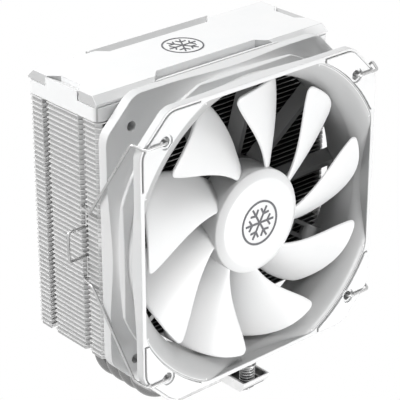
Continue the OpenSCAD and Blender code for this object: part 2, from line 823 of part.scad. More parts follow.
cooling_fins();
heat_pipe(0);  // heat_pipe_1
heat_pipe(1);  // heat_pipe_2
heat_pipe(2);  // heat_pipe_3
heat_pipe(3);  // heat_pipe_4
base_block();
contact_plate();
crossbar();
crossbar_screws();
spring_screw(-1);  // front_spring_screw
spring_screw(1);  // rear_spring_screw
coil_spring(-1);  // front_spring
coil_spring(1);  // rear_spring
retaining_ring(-1);  // front_retaining_ring
retaining_ring(1);  // rear_retaining_ring
top_cover();
top_plate();
cover_badge();
cover_screws();
fan_frame();
front_corner_pads();
rear_corner_pads();
impeller();
hub_badge();
rotor_yoke();
magnet_ring();
shaft();
bearing_sleeve();
bearing_retainer();
stator_core();
stator_coils();
circuit_board();
motor_label();
left_clip();
right_clip();
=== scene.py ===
"""Looks of a white single-tower processor cooler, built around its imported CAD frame."""

import json
import math

import bmesh
import bpy
from mathutils import Matrix, Vector


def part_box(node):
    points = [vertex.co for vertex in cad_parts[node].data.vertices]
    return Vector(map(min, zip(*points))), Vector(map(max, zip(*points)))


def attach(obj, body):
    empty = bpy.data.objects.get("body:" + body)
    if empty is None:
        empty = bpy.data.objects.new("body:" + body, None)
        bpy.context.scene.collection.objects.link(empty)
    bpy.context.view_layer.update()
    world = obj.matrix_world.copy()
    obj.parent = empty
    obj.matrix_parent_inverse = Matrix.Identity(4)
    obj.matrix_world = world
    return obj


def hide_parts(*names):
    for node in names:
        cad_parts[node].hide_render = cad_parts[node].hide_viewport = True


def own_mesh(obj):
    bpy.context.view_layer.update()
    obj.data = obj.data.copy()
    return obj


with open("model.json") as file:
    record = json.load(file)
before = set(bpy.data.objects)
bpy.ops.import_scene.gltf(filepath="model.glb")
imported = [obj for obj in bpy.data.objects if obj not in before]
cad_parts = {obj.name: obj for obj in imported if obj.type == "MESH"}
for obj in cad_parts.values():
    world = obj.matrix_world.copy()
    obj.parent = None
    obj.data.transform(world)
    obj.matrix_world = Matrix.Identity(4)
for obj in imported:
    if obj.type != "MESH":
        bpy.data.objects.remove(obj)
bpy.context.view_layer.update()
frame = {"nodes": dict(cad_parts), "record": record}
NODES = frame["nodes"]
RECORD = frame["record"]
BODY_OF = {node: body for body, nodes in RECORD["behaviour"]["bodies"].items() for node in nodes}
SLOT_OF = {row["node"]: row["material_slot"] for row in RECORD["subparts"]}
MM = 0.001

# ---------------------------------------------------------------- places taken from the frame
frame_low, frame_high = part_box("fan_frame")
FAN_CENTRE = Vector(((frame_low[0] + frame_high[0]) / 2, frame_low[1], (frame_low[2] + frame_high[2]) / 2))
FAN_HALF = (frame_high[0] - frame_low[0]) / 2 / MM
FAN_DEPTH = (frame_high[1] - frame_low[1]) / MM
FIN_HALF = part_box("cooling_fins")[1][0] / MM
FIN_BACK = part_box("cooling_fins")[1][1] / MM
FIN_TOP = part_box("cooling_fins")[1][2]
FIN_PITCH = 2.18 * MM


def fan_point(x, y, z):
    """A point in the row frame from fan millimetres: x across, y up, z from the front face back."""
    return FAN_CENTRE + Vector((x, z, y)) * MM


# ---------------------------------------------------------------- camera, light and floor
def only_for_camera(tree, seen, lit):
    """A shader that the camera and clear reflections see as one thing and soft light as another."""
    path = tree.nodes.new("ShaderNodeLightPath")
    mix = tree.nodes.new("ShaderNodeMixShader")
    either = tree.nodes.new("ShaderNodeMath")
    either.operation = "MAXIMUM"
    tree.links.new(path.outputs["Is Camera Ray"], either.inputs[0])
    tree.links.new(path.outputs["Is Glossy Ray"], either.inputs[1])
    tree.links.new(either.outputs[0], mix.inputs[0])
    tree.links.new(lit, mix.inputs[1])
    tree.links.new(seen, mix.inputs[2])
    return mix.outputs[0]


def area_light(name, place, target, size, power):
    data = bpy.data.lights.new(name, "AREA")
    data.shape = "RECTANGLE"
    data.size, data.size_y = size
    data.energy = power
    light = bpy.data.objects.new(name, data)
    bpy.context.collection.objects.link(light)
    light.location = place
    light.rotation_euler = (Vector(target) - Vector(place)).to_track_quat("-Z", "Y").to_euler()


def studio():
    camera_data = bpy.data.cameras.new("camera")
    camera_data.lens = 157.14
    camera_data.sensor_width = 36
    camera = bpy.data.objects.new("camera", camera_data)
    bpy.context.collection.objects.link(camera)
    camera.location = (-0.44922, -0.51798, 0.41185)
    azimuth, elevation, roll = math.radians(-41.53), math.radians(25.50), math.radians(-0.085)
    turn = Matrix.Rotation(azimuth, 4, "Z") @ Matrix.Rotation(math.pi / 2 - elevation, 4, "X")
    camera.rotation_euler = (turn @ Matrix.Rotation(roll, 4, "Z")).to_euler()
    bpy.context.scene.camera = camera

    middle = (0, -0.02, 0.09)
    area_light("front", (0.34, -1.14, -0.22), middle, (0.50, 0.40), 14)
    area_light("left", (-0.80, 0.48, 0.88), middle, (0.60, 0.60), 13.5)
    area_light("top", (0.15, -0.22, 1.20), middle, (0.60, 0.50), 6.4)
    area_light("fill", (-0.95, -0.85, 0.30), middle, (0.60, 0.60), 1)

    world = bpy.data.worlds.new("world")
    world.use_nodes = True
    tree = world.node_tree
    seen = tree.nodes["Background"]
    seen.inputs["Color"].default_value = (1, 1, 1, 1)
    seen.inputs["Strength"].default_value = 1.0
    lit = tree.nodes.new("ShaderNodeBackground")
    lit.inputs["Color"].default_value = (1, 1, 1, 1)
    lit.inputs["Strength"].default_value = 0.12
    shader = only_for_camera(tree, seen.outputs[0], lit.outputs[0])
    tree.links.new(shader, tree.nodes["World Output"].inputs["Surface"])
    bpy.context.scene.world = world
    bpy.context.scene.view_settings.view_transform = "Standard"

    mesh = bpy.data.meshes.new("floor")
    reach = 6
    mesh.from_pydata([(-reach, -reach, 0), (reach, -reach, 0), (reach, reach, 0), (-reach, reach, 0)],
                     [], [(0, 1, 2, 3)])
    floor = bpy.data.objects.new("floor", mesh)
    bpy.context.collection.objects.link(floor)
    floor.location.z = -0.0005
    floor.visible_shadow = False  # a translucent table, lit from below as well
    mesh.materials.append(floor_material())


# ---------------------------------------------------------------- materials
FACING_NONE, FACING_FULL = 0.988, 0.994  # cosines of the angle to a facet's normal
AXIS_FACING_NONE, AXIS_FACING_FULL = -0.001, -0.006  # metres from the axis times that cosine
# painted shade on the tab below each fin's bent edge, so that the edge reads as a lit line
BEND_SHARE, BEND_SOFT = 0.30, 0.14  # of a fin's pitch: its bent edge, and the fade below that
FINE_GRAIN, COARSE_GRAIN = 0.00002, 0.00003  # metres
EDGE_SOFT = 0.0004
TROUGH_HALF = (0.0063, 0.0462)  # the bar's trough, half across and half along
# inside this depth the stack gets painted shade
STACK_DEPTH = 4.6  # millimetres in from the side, where the stack is dark
# facet directions given painted shade: a greyer colour stands in for their darker shading
PAINTED_SHADE_FACETS = ((-0.98, 0, 0.17),  # the plate's left end bevel
               (0, -0.42, 0.91),  # the cover's rear ledge
               (-0.42, 0, 0.91),  # the ledge at its right end
               (-0.71, -0.71, 0))  # the corners that face left and front
MIX_A, MIX_B, MIX_RESULT = 6, 7, 2  # the colour sockets of a Mix node


class Paint:
    """A Principled material with helpers for the procedural detail."""

    def __init__(self, name, rough=0.4, metal=0.0):
        self.material = bpy.data.materials.new(name)
        self.material.use_nodes = True
        self.nodes = self.material.node_tree.nodes
        self.links = self.material.node_tree.links
        self.shader = self.nodes["Principled BSDF"]
        self.shader.inputs["Metallic"].default_value = metal
        self.shader.inputs["Roughness"].default_value = rough
        coordinates = self.nodes.new("ShaderNodeTexCoord")
        self.place = coordinates.outputs["Object"]
        self.normal = coordinates.outputs["Normal"]

    def node(self, kind, **values):
        made = self.nodes.new("ShaderNode" + kind)
        for key, value in values.items():
            if key in made.inputs:
                made.inputs[key].default_value = value
            else:
                setattr(made, key, value)
        return made

    def stretched(self, scale):
        mapping = self.node("Mapping")
        mapping.inputs["Scale"].default_value = scale
        self.links.new(self.place, mapping.inputs["Vector"])
        return mapping.outputs["Vector"]

    def noise(self, scale, detail, stretch=(1, 1, 1)):
        """Noise with its cells given in cells per metre."""
        made = self.node("TexNoise", Scale=scale, Detail=detail)
        self.links.new(self.stretched(stretch), made.inputs["Vector"])
        return made.outputs["Fac"]

    def ramp(self, value, stops):
        made = self.nodes.new("ShaderNodeValToRGB")
        bar = made.color_ramp
        while len(bar.elements) < len(stops):
            bar.elements.new(0.5)
        for element, (at, colour) in zip(bar.elements, stops):
            element.position = at
            element.color = (*colour, 1)
        self.links.new(value, made.inputs["Fac"])
        return made.outputs["Color"]

    def colour(self, value, stops):
        self.links.new(self.ramp(value, stops), self.shader.inputs["Base Color"])

    def roughness(self, value, low, high):
        made = self.node("MapRange")
        made.inputs["From Min"].default_value = 0.3
        made.inputs["From Max"].default_value = 0.7
        made.inputs["To Min"].default_value = low
        made.inputs["To Max"].default_value = high
        self.links.new(value, made.inputs["Value"])
        self.links.new(made.outputs["Result"], self.shader.inputs["Roughness"])

    def bump(self, value, strength, distance):
        made = self.node("Bump", Strength=strength, Distance=distance)
        self.links.new(value, made.inputs["Height"])
        self.links.new(made.outputs["Normal"], self.shader.inputs["Normal"])

    def mask(self, value, zero, one):
        """A mask that runs from 0 where a value is at zero to 1 where it is at one."""
        made = self.node("MapRange")
        made.inputs["From Min"].default_value = zero
        made.inputs["From Max"].default_value = one
        self.links.new(value, made.inputs["Value"])
        return made.outputs["Result"]

    def joined(self, masks, operation):
        """All the masks as one, with the product, the maximum or another operation."""
        result = masks[0]
        for mask in masks[1:]:
            step = self.node("Math", operation=operation)
            self.links.new(result, step.inputs[0])
            self.links.new(mask, step.inputs[1])
            result = step.outputs[0]
        return result

    def axis_value(self, axis):
        split = self.node("SeparateXYZ")
        self.links.new(self.place, split.inputs[0])
        return split.outputs[axis]

    def from_axis(self):
        """The way from the fan's axis to the point, flat in the plane of the fan."""
        moved = self.node("VectorMath", operation="SUBTRACT")
        self.links.new(self.place, moved.inputs[0])
        moved.inputs[1].default_value = FAN_CENTRE
        flat = self.node("VectorMath", operation="MULTIPLY")
        self.links.new(moved.outputs[0], flat.inputs[0])
        flat.inputs[1].default_value = (1, 0, 1)
        return flat.outputs[0]

    def inside(self, axis, limit, soft):
        """A mask that is 1 within limit metres of the middle plane of an axis and 0 beyond it."""
        size = self.node("Math", operation="ABSOLUTE")
        self.links.new(self.axis_value(axis), size.inputs[0])
        return self.mask(size.outputs[0], limit, limit - soft)

    def below(self, axis, limit, soft):
        """A mask that is 1 where an axis is below the limit and 0 above it, in metres."""
        return self.mask(self.axis_value(axis), limit, limit - soft)

    def near_axis(self, radius, soft):
        """A mask that is 1 within a radius of the fan's axis and 0 beyond it."""
        length = self.node("VectorMath", operation="LENGTH")
        self.links.new(self.from_axis(), length.inputs[0])
        return self.mask(length.outputs["Value"], radius, radius - soft)

    def facing(self, directions):
        """A mask that is 1 where the surface faces one of the directions and 0 elsewhere."""
        masks = []
        for direction in directions:
            along = self.node("VectorMath", operation="DOT_PRODUCT")
            self.links.new(self.normal, along.inputs[0])
            along.inputs[1].default_value = Vector(direction).normalized()
            masks.append(self.mask(along.outputs["Value"], FACING_NONE, FACING_FULL))
        return self.joined(masks, "MAXIMUM")

    def facing_axis(self):
        """A mask that is 1 where the surface faces the fan's axis and 0 elsewhere."""
        along = self.node("VectorMath", operation="DOT_PRODUCT")
        self.links.new(self.from_axis(), along.inputs[0])
        self.links.new(self.normal, along.inputs[1])
        return self.mask(along.outputs["Value"], AXIS_FACING_NONE, AXIS_FACING_FULL)

    def below_bends(self, top, pitch):
        """A mask that is 0 on the bent edge of each fin in a stack and 1 on the tab under it."""
        depth = self.node("Math", operation="SUBTRACT")
        depth.inputs[0].default_value = top
        self.links.new(self.axis_value(2), depth.inputs[1])
        turns = self.node("Math", operation="DIVIDE")
        self.links.new(depth.outputs[0], turns.inputs[0])
        turns.inputs[1].default_value = pitch
        part = self.node("Math", operation="FRACT")
        self.links.new(turns.outputs[0], part.inputs[0])
        return self.mask(part.outputs[0], BEND_SHARE, BEND_SHARE + BEND_SOFT)

    def darker_where(self, masks, value, light_stops, dark_stops):
        """Colours from light_stops, and from dark_stops where all the masks are 1."""
        mix = self.node("Mix", data_type="RGBA")
        self.links.new(self.joined(masks, "MULTIPLY"), mix.inputs["Factor"])
        self.links.new(self.ramp(value, light_stops), mix.inputs[MIX_A])
        self.links.new(self.ramp(value, dark_stops), mix.inputs[MIX_B])
        self.links.new(mix.outputs[MIX_RESULT], self.shader.inputs["Base Color"])

    def tinted_where(self, masks, share):
        """Darkens the colour that is already there to a share of itself where all the masks are 1."""
        socket = self.shader.inputs["Base Color"]
        mix = self.node("Mix", data_type="RGBA", blend_type="MULTIPLY")
        self.links.new(self.joined(masks, "MULTIPLY"), mix.inputs["Factor"])
        self.links.new(socket.links[0].from_socket, mix.inputs[MIX_A])
        mix.inputs[MIX_B].default_value = (share, share, share, 1)
        self.links.new(mix.outputs[MIX_RESULT], socket)


def frame_white(name, level, bell_shade_level):
    """Satin white of the fan frame, with painted shade on the bell and the duct, which face the fan's
    axis.
    """
    paint = Paint(name)
    mottle = paint.noise(45, 4)
    # painted shade: surfaces that face the fan's axis take the darker colour
    paint.darker_where([paint.facing_axis()], mottle, white_stops(level), white_stops(bell_shade_level))
    paint.roughness(paint.noise(300, 3), 0.35, 0.46)
    paint.bump(paint.noise(5200, 2), 0.05, COARSE_GRAIN)
    return paint.material


def bar_plate(name):
    """Bright plated strip with painted shade: its trough under the fan is coloured near black."""
    paint = Paint(name, 0.3, 1.0)
    # painted shade: the trough is coloured near black
    masks = [paint.inside(axis, half, EDGE_SOFT) for axis, half in enumerate(TROUGH_HALF)]
    paint.darker_where(masks, paint.noise(300, 3), [(0.3, grey(0.84)), (0.7, grey(0.92))],
                       [(0.3, grey(0.08)), (0.7, grey(0.13))])
    paint.roughness(paint.noise(500, 3), 0.26, 0.36)
    return paint.material


def grey(level):
    return (level, level, level)


def white_stops(level):
    cool = (level * 0.975, level * 0.985, level * 0.99)
    return [(0.3, cool), (0.7, (level * 1.01, level * 1.01, level * 1.01))]


def moulded_white(name, level, rough, grain=0.05):
    """Satin white plastic: faint mottling, a fine spark-eroded grain and uneven gloss."""
    paint = Paint(name)
    paint.colour(paint.noise(45, 4), white_stops(level))
    paint.roughness(paint.noise(300, 3), rough - 0.05, rough + 0.06)
    paint.bump(paint.noise(5200, 2), grain, COARSE_GRAIN)
    paint.shader.inputs["Specular IOR Level"].default_value = 0.45
    return paint.material


def faceted_white(name, level, facet_shade_level):
    """Moulded white with painted shade: its bevels, ledges and corners that face the listed facet
    directions are greyer than its flats.
    """
    paint = Paint(name)
    mottle = paint.noise(45, 4)
    facets = paint.facing(PAINTED_SHADE_FACETS)
    paint.darker_where([facets], mottle, white_stops(level), white_stops(facet_shade_level))
    paint.roughness(paint.noise(300, 3), 0.3, 0.42)
    paint.bump(paint.noise(5200, 2), 0.05, COARSE_GRAIN)
    return paint.material


def powder_coat(name, level):
    """White powder coat on thin sheet, with painted shade deep in the stack, behind the fan and under each
    bend.
    """
    paint = Paint(name)
    bands = paint.noise(26, 2, stretch=(0.2, 0.2, 18))
    # painted shade: the flats deep inside the stack are coloured near black
    masks = [paint.inside(0, (FIN_HALF - STACK_DEPTH) * MM, 0.0006),
             paint.inside(1, (FIN_BACK - 0.3) * MM, 0.0003)]
    paint.darker_where(masks, bands, [(0.3, grey(level * 0.95)), (0.7, grey(level * 1.02))],
                       [(0.3, grey(0.04)), (0.7, grey(0.06))])
    # painted shadow of the fan on the fins behind its duct
    fan_shadow = [paint.near_axis(DUCT_R * MM, 0.001), paint.below(1, 0, 0.002)]
    paint.tinted_where(fan_shadow, 0.3)
    # painted shade on the side tabs under each bent edge
    sides = paint.facing([(-1, 0, 0), (1, 0, 0)])
    paint.tinted_where([paint.below_bends(FIN_TOP, FIN_PITCH), sides], 0.5)
    paint.roughness(paint.noise(500, 3), 0.36, 0.5)
    paint.bump(paint.noise(2600, 2), 0.12, COARSE_GRAIN)
    return paint.material


def plated(name, level, rough, drawn=(1, 1, 1), tint=(1, 1, 1)):
    """Nickel or bare metal: cloudy gloss, and draw lines across the axis with the largest number."""
    paint = Paint(name, rough, 1.0)
    low = tuple(level * 0.88 * c for c in tint)
    high = tuple(level * 1.08 * c for c in tint)
    paint.colour(paint.noise(120, 4, stretch=drawn), [(0.3, low), (0.7, high)])
    paint.roughness(paint.noise(700, 4, stretch=drawn), rough - 0.06, rough + 0.1)
    paint.bump(paint.noise(4000, 3, stretch=drawn), 0.1, FINE_GRAIN)
    return paint.material


def black_coat(name, level, rough):
    """Black oxide or paint over steel with a fine speckle."""
    paint = Paint(name, rough, 0.3)
    paint.colour(paint.noise(900, 4), [(0.35, grey(level)), (0.65, grey(level * 1.8))])
    paint.roughness(paint.noise(400, 3), rough - 0.06, rough + 0.1)
    paint.bump(paint.noise(3000, 3), 0.15, COARSE_GRAIN)
    return paint.material


def printed(name, colour):
    """A thin print or film with a slightly uneven ink."""
    paint = Paint(name, 0.45)
    paint.colour(paint.noise(600, 3), [(0.3, tuple(c * 0.9 for c in colour)), (0.7, colour)])
    paint.bump(paint.noise(3500, 2), 0.08, FINE_GRAIN)
    return paint.material


def floor_material():
    paint = Paint("floor_paint", 0.6)
    paint.colour(paint.noise(3, 2), [(0.3, grey(0.78)), (0.7, grey(0.82))])
    tree = paint.material.node_tree
    glow = tree.nodes.new("ShaderNodeEmission")
    glow.inputs["Strength"].default_value = 1.0
    shader = only_for_camera(tree, glow.outputs[0], paint.shader.outputs[0])
    tree.links.new(shader, tree.nodes["Material Output"].inputs["Surface"])
    return paint.material


def all_materials():
    return {
        "fin_coat": powder_coat("fin_coat", 0.74),
        "pipe_nickel": plated("pipe_nickel", 0.24, 0.24),
        "base_aluminium": plated("base_aluminium", 0.7, 0.3, (1, 30, 1)),
        "contact_nickel": plated("contact_nickel", 0.7, 0.18, (1, 40, 1)),
        "bar_steel": bar_plate("bar_steel"),
        "screw_steel": plated("screw_steel", 0.45, 0.28),
        "spring_steel": plated("spring_steel", 0.55, 0.25),
        "cover_white": faceted_white("cover_white", 0.82, 0.5),
        "badge_grey": printed("badge_grey", (0.07, 0.07, 0.08)),
        "frame_white": frame_white("frame_white", 0.66, 0.4),
        "pad_white": moulded_white("pad_white", 0.7, 0.55, 0.12),
        "blade_white": moulded_white("blade_white", 0.69, 0.38),
        "yoke_steel": plated("yoke_steel", 0.4, 0.3),
        "magnet": black_coat("magnet", 0.02, 0.6),
        "shaft_steel": plated("shaft_steel", 0.6, 0.15),
        "sleeve_brass": plated("sleeve_brass", 0.6, 0.35, tint=(1, 0.78, 0.42)),
        "core_steel": plated("core_steel", 0.2, 0.45, (1, 25, 1)),
        "coil_copper": plated("coil_copper", 0.55, 0.3, (1, 20, 1), (1, 0.5, 0.25)),
        "board_green": printed("board_green", (0.03, 0.16, 0.07)),
        "label_white": printed("label_white", (0.75, 0.75, 0.76)),
        "clip_wire": plated("clip_wire", 0.5, 0.3),
    }


# ---------------------------------------------------------------- mesh helpers
def add_piece(name, mesh_data, node, smooth=35, material=None):
    """Makes a piece that stands for a CAD node and hides the node: same body, and the material of its slot
    unless another is given.
    """
    bmesh.ops.recalc_face_normals(mesh_data, faces=mesh_data.faces)
    mesh = bpy.data.meshes.new(name)
    mesh_data.to_mesh(mesh)
    mesh_data.free()
    mesh.shade_smooth()
    mesh.set_sharp_from_angle(angle=math.radians(smooth))
    piece = bpy.data.objects.new(name, mesh)
    bpy.context.collection.objects.link(piece)
    mesh.materials.append(material or MATERIALS[SLOT_OF[node]])
    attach(piece, BODY_OF[node])
    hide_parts(node)
    return piece


def refined(node, bevel):
    """The CAD node's own shape with its coplanar facets joined and its sharp edges rounded."""
    shape = bmesh.new()
    shape.from_mesh(NODES[node].data)
    bmesh.ops.remove_doubles(shape, verts=shape.verts[:], dist=0.000002)
    bmesh.ops.dissolve_limit(shape, angle_limit=math.radians(0.5), use_dissolve_boundaries=False,
                             verts=shape.verts[:], edges=shape.edges[:])
    edges = [edge for edge in shape.edges
             if len(edge.link_faces) == 2 and edge.calc_face_angle(0) > math.radians(30)]
    bmesh.ops.bevel(shape, geom=edges, offset=bevel * MM, offset_type="OFFSET", segments=2,
                    profile=0.5, affect="EDGES", clamp_overlap=False)
    piece = add_piece(node + "_fine", shape, node)
    # the large faces keep their own normals, so that only the small bevels shade round
    modifier = piece.modifiers.new("even_shading", "WEIGHTED_NORMAL")
    modifier.keep_sharp = True


def quad_grid(shape, rows, closed_rows=False, closed_columns=False):
    """Adds rows of points to a bmesh and joins neighbours with quads."""
    made = [[shape.verts.new(point) for point in row] for row in rows]
    across, down = len(rows[0]), len(rows)
    for i in range(down if closed_rows else down - 1):
        for j in range(across if closed_columns else across - 1):
            a, b = made[i], made[(i + 1) % down]
            shape.faces.new((a[j], a[(j + 1) % across], b[(j + 1) % across], b[j]))
    return made


def revolved(shape, section, steps, place):
    """Turns a closed section of (radius, depth) points about the fan's axis."""
    rows = []
    for k in range(steps):
        turn = 2 * math.pi * k / steps
        rows.append([place(r * math.cos(turn), r * math.sin(turn), z) for r, z in section])
    quad_grid(shape, rows, closed_rows=True, closed_columns=True)


def prism(shape, outline, low, high, place):
    """A closed prism from an outline of (x, y) points between two depths."""
    bottom = [shape.verts.new(place(x, y, low)) for x, y in outline]
    top = [shape.verts.new(place(x, y, high)) for x, y in outline]
    shape.faces.new(bottom)
    shape.faces.new(top[::-1])
    for i in range(len(outline)):
        n = (i + 1) % len(outline)
        shape.faces.new((bottom[i], bottom[n], top[n], top[i]))


def cut(piece, cutters):
    """Takes the cutters' bmesh away from a piece and applies the result to its mesh."""
    bmesh.ops.recalc_face_normals(cutters, faces=cutters.faces)
    mesh = bpy.data.meshes.new("cutters")
    cutters.to_mesh(mesh)
    cutters.free()
    tool = bpy.data.objects.new("cutters", mesh)
    bpy.context.collection.objects.link(tool)
    modifier = piece.modifiers.new("cut", "BOOLEAN")
    modifier.operation = "DIFFERENCE"
    modifier.solver = "EXACT"
    modifier.object = tool
    bpy.context.view_layer.update()
    result = bpy.data.meshes.new_from_object(piece.evaluated_get(bpy.context.evaluated_depsgraph_get()))
    piece.modifiers.remove(modifier)
    piece.data = result
    bpy.data.objects.remove(tool)
    result.shade_smooth()
    result.set_sharp_from_angle(angle=math.radians(22))


def swept(shape, path, radius, sides):
    """Round wire along a path of points, closed at both ends."""
    last = len(path) - 1
    heading = [(path[min(last, i + 1)] - path[max(0, i - 1)]).normalized() for i in range(last + 1)]
    across = heading[0].orthogonal().normalized()
    rows = []
    for i, ahead in enumerate(heading):
        across = (across - ahead * across.dot(ahead)).normalized()
        beside = ahead.cross(across)
        rows.append([path[i] + radius * (math.cos(a) * across + math.sin(a) * beside)
                     for a in (2 * math.pi * j / sides for j in range(sides))])
    made = quad_grid(shape, rows, closed_columns=True)
    shape.faces.new(made[0])
    shape.faces.new(made[-1][::-1])


def lerp(a, b, t):
    return a + (b - a) * t


# ---------------------------------------------------------------- fan frame
CORNER_CUT = 116
CORNER_R = 9
FLANGE_FRONT = 3.9
FLANGE_REAR = 20.4
WALL_R = 63.9
FILLET_R = 74
DUCT_R = 61.8
BELL_R = 70.4
BELL_CURVE = 1.5
BELL_FLAT = 63.1
BELL_DEPTH = 8
HOLE = 52.5
GROOVE_FRONT = 8.6
RIB_FRONT = 10.2
RIB_BACK = 14.6
GROOVE_BACK = 14.9
RIB_R = 70
RIB_TAPER_FRONT = 0.6
RIB_TAPER_BACK = 2.2
STRUT_FRONT = 20
STRUT_INNER_R = 22.2
CABLE_LOW = 0.8
CABLE_HIGH = 5.3
CABLE_FLOOR = STRUT_FRONT + 1.6
CABLE_TURN = -33
PAD_HEIGHT = 0.8
MOAT_DEPTH = 0.8
PAD_INSET = 1.4
PAD_INNER_R = 71.3
PAD_END = 34.5
PAD_GAP = 0.42


def outline_radius(turn, inset=0.0):
    """Distance from the axis to the frame's outline, a square with cut, rounded corners."""
    quarter = abs((math.degrees(turn) + 45) % 90 - 45)
    c, s = math.cos(math.radians(quarter)), math.sin(math.radians(quarter))
    half, limit, r = FAN_HALF - inset, CORNER_CUT - 1.414 * inset, CORNER_R - inset
    low = limit - half - r * math.tan(math.radians(22.5))
    centre = (half - r, low)
    arc_end = (centre[0] + r * math.sqrt(0.5), low + r * math.sqrt(0.5))
    if s * half <= low * c:
        return half / c
    if s * arc_end[0] >= arc_end[1] * c:
        return limit / (c + s)
    along = c * centre[0] + s * centre[1]
    return along + math.sqrt(along * along - centre[0] ** 2 - centre[1] ** 2 + r * r)


def mouth_radius(turn):
    """Distance from the axis to the edge of the bell mouth: a circle blended into four flats."""
    quarter = abs((math.degrees(turn) + 45) % 90 - 45)
    flat = BELL_FLAT / math.cos(math.radians(quarter))
    blend = 1.2
    mix = max(0.0, min(1.0, 0.5 + 0.5 * (BELL_R - flat) / blend))
    return lerp(BELL_R, flat, mix) - blend * mix * (1 - mix)


def bell_depth_at(r):
    """Depth of the bell at a radius: a quarter ellipse pulled towards a plain cone."""
    part = 1 - (r - DUCT_R) / (BELL_R - DUCT_R)
    return BELL_DEPTH * (1 - max(0.0, 1 - part ** BELL_CURVE) ** (1 / BELL_CURVE))


def frame_section(turn):
    """One closed section of the frame at an angle, as (radius, depth) points."""
    out, mouth = outline_radius(turn), mouth_radius(turn)
    lip, edge = 0.35, 0.4
    rim = min(FILLET_R, out)
    rib = min(RIB_R, out)
    points = []
    for k in range(13):
        a = math.radians(90 * k / 12)
        r = DUCT_R + (mouth - DUCT_R) * (1 - math.cos(a))
        points.append((r, max(lip, bell_depth_at(r))))
    points += [(mouth + lip * 0.3, lip * 0.3), (mouth + lip, 0),
               (out - edge, 0), (out - edge * 0.3, edge * 0.3), (out, edge)]

    def fillet(r, start, rise):
        part = (FILLET_R - r) / (FILLET_R - WALL_R)
        return start - rise * math.sqrt(max(0.0, 1 - part * part))

    front = [(lerp(rim, WALL_R, 1 - math.cos(math.radians(90 * k / 8))), 0) for k in range(9)]
    front = [(r, fillet(r, GROOVE_FRONT, GROOVE_FRONT - FLANGE_FRONT)) for r, _ in front]
    points += [(out, front[0][1] - edge * 0.6), (out - edge * 0.3, front[0][1])] + front[1:]
    share = (rib - WALL_R) / (RIB_R - WALL_R)
    fall, rise = RIB_TAPER_FRONT * share, RIB_TAPER_BACK * share
    points += [(WALL_R, RIB_FRONT), (rib - 0.2, RIB_FRONT + fall), (rib, RIB_FRONT + 0.3 + fall),
               (rib, RIB_BACK - 0.3 - rise), (rib - 0.2, RIB_BACK - rise), (WALL_R, RIB_BACK)]
    rear = [(r, 2 * GROOVE_BACK - fillet(r, GROOVE_BACK, FLANGE_REAR - GROOVE_BACK))
            for r, _ in front]
    points += rear[:0:-1] + [(out - edge * 0.3, rear[0][1]), (out, rear[0][1] + edge * 0.6)]
    points += [(out, FAN_DEPTH - edge), (out - edge * 0.3, FAN_DEPTH - edge * 0.3),
               (out - edge, FAN_DEPTH), (DUCT_R + 1.5, FAN_DEPTH), (DUCT_R, 21)]
    return points


def pad_outline(offset):
    """The outline of the upper right corner pad, moved outwards by an offset."""
    low, inner_r, inset = PAD_END - offset, PAD_INNER_R - offset, PAD_INSET - offset
    first = math.atan2(low, FAN_HALF - inset)
    inner_first = math.asin(low / inner_r)
    steps = 48
    outer = [lerp(first, math.pi / 2 - first, k / steps) for k in range(steps + 1)]
    inner = [lerp(math.pi / 2 - inner_first, inner_first, k / steps) for k in range(steps + 1)]
    points = [(outline_radius(t, inset), t) for t in outer] + [(inner_r, t) for t in inner]
    return [(r * math.cos(t), r * math.sin(t)) for r, t in points]


def pad_moat(shape, sign_x, sign_y):
    """A narrow gap sunk in the front face all round a corner pad."""
    rows = []
    above, floor = -1, MOAT_DEPTH
    for (x0, y0), (x1, y1) in zip(pad_outline(PAD_GAP), pad_outline(0)):
        rows.append([fan_point(sign_x * x, sign_y * y, z) for x, y, z in
                     ((x0, y0, above), (x0, y0, floor), (x1, y1, floor), (x1, y1, above))])
    quad_grid(shape, rows, closed_rows=True, closed_columns=True)


def fan_frame():
    shape = bmesh.new()
    rows = []
    steps = 720
    for k in range(steps):
        turn = 2 * math.pi * k / steps
        rows.append([fan_point(r * math.cos(turn), r * math.sin(turn), z)
                     for r, z in frame_section(turn)])
    quad_grid(shape, rows, closed_rows=True, closed_columns=True)
    piece = add_piece("fan_frame_fine", shape, "fan_frame")
    cutters = bmesh.new()
    hole_r, sides = 2.15, 40
    for sx in (-1, 1):
        for sy in (-1, 1):
            ring = [(sx * HOLE + hole_r * math.cos(2 * math.pi * k / sides),
                     sy * HOLE + hole_r * math.sin(2 * math.pi * k / sides)) for k in range(sides)]
            prism(cutters, ring, -1, FAN_DEPTH + 1, fan_point)
            pad_moat(cutters, sx, sy)
    inner, outer = DUCT_R - 2, DUCT_R + 12
    way_out = [(inner, CABLE_LOW), (outer, CABLE_LOW), (outer, CABLE_HIGH), (inner, CABLE_HIGH)]
    prism(cutters, way_out, CABLE_FLOOR, FAN_DEPTH + 1, turned_place(CABLE_TURN))
    cut(piece, cutters)


def turned_place(degrees):
    """Fan coordinates turned about the fan's axis."""
    c, s = math.cos(math.radians(degrees)), math.sin(math.radians(degrees))
    return lambda x, y, z: fan_point(x * c - y * s, x * s + y * c, z)


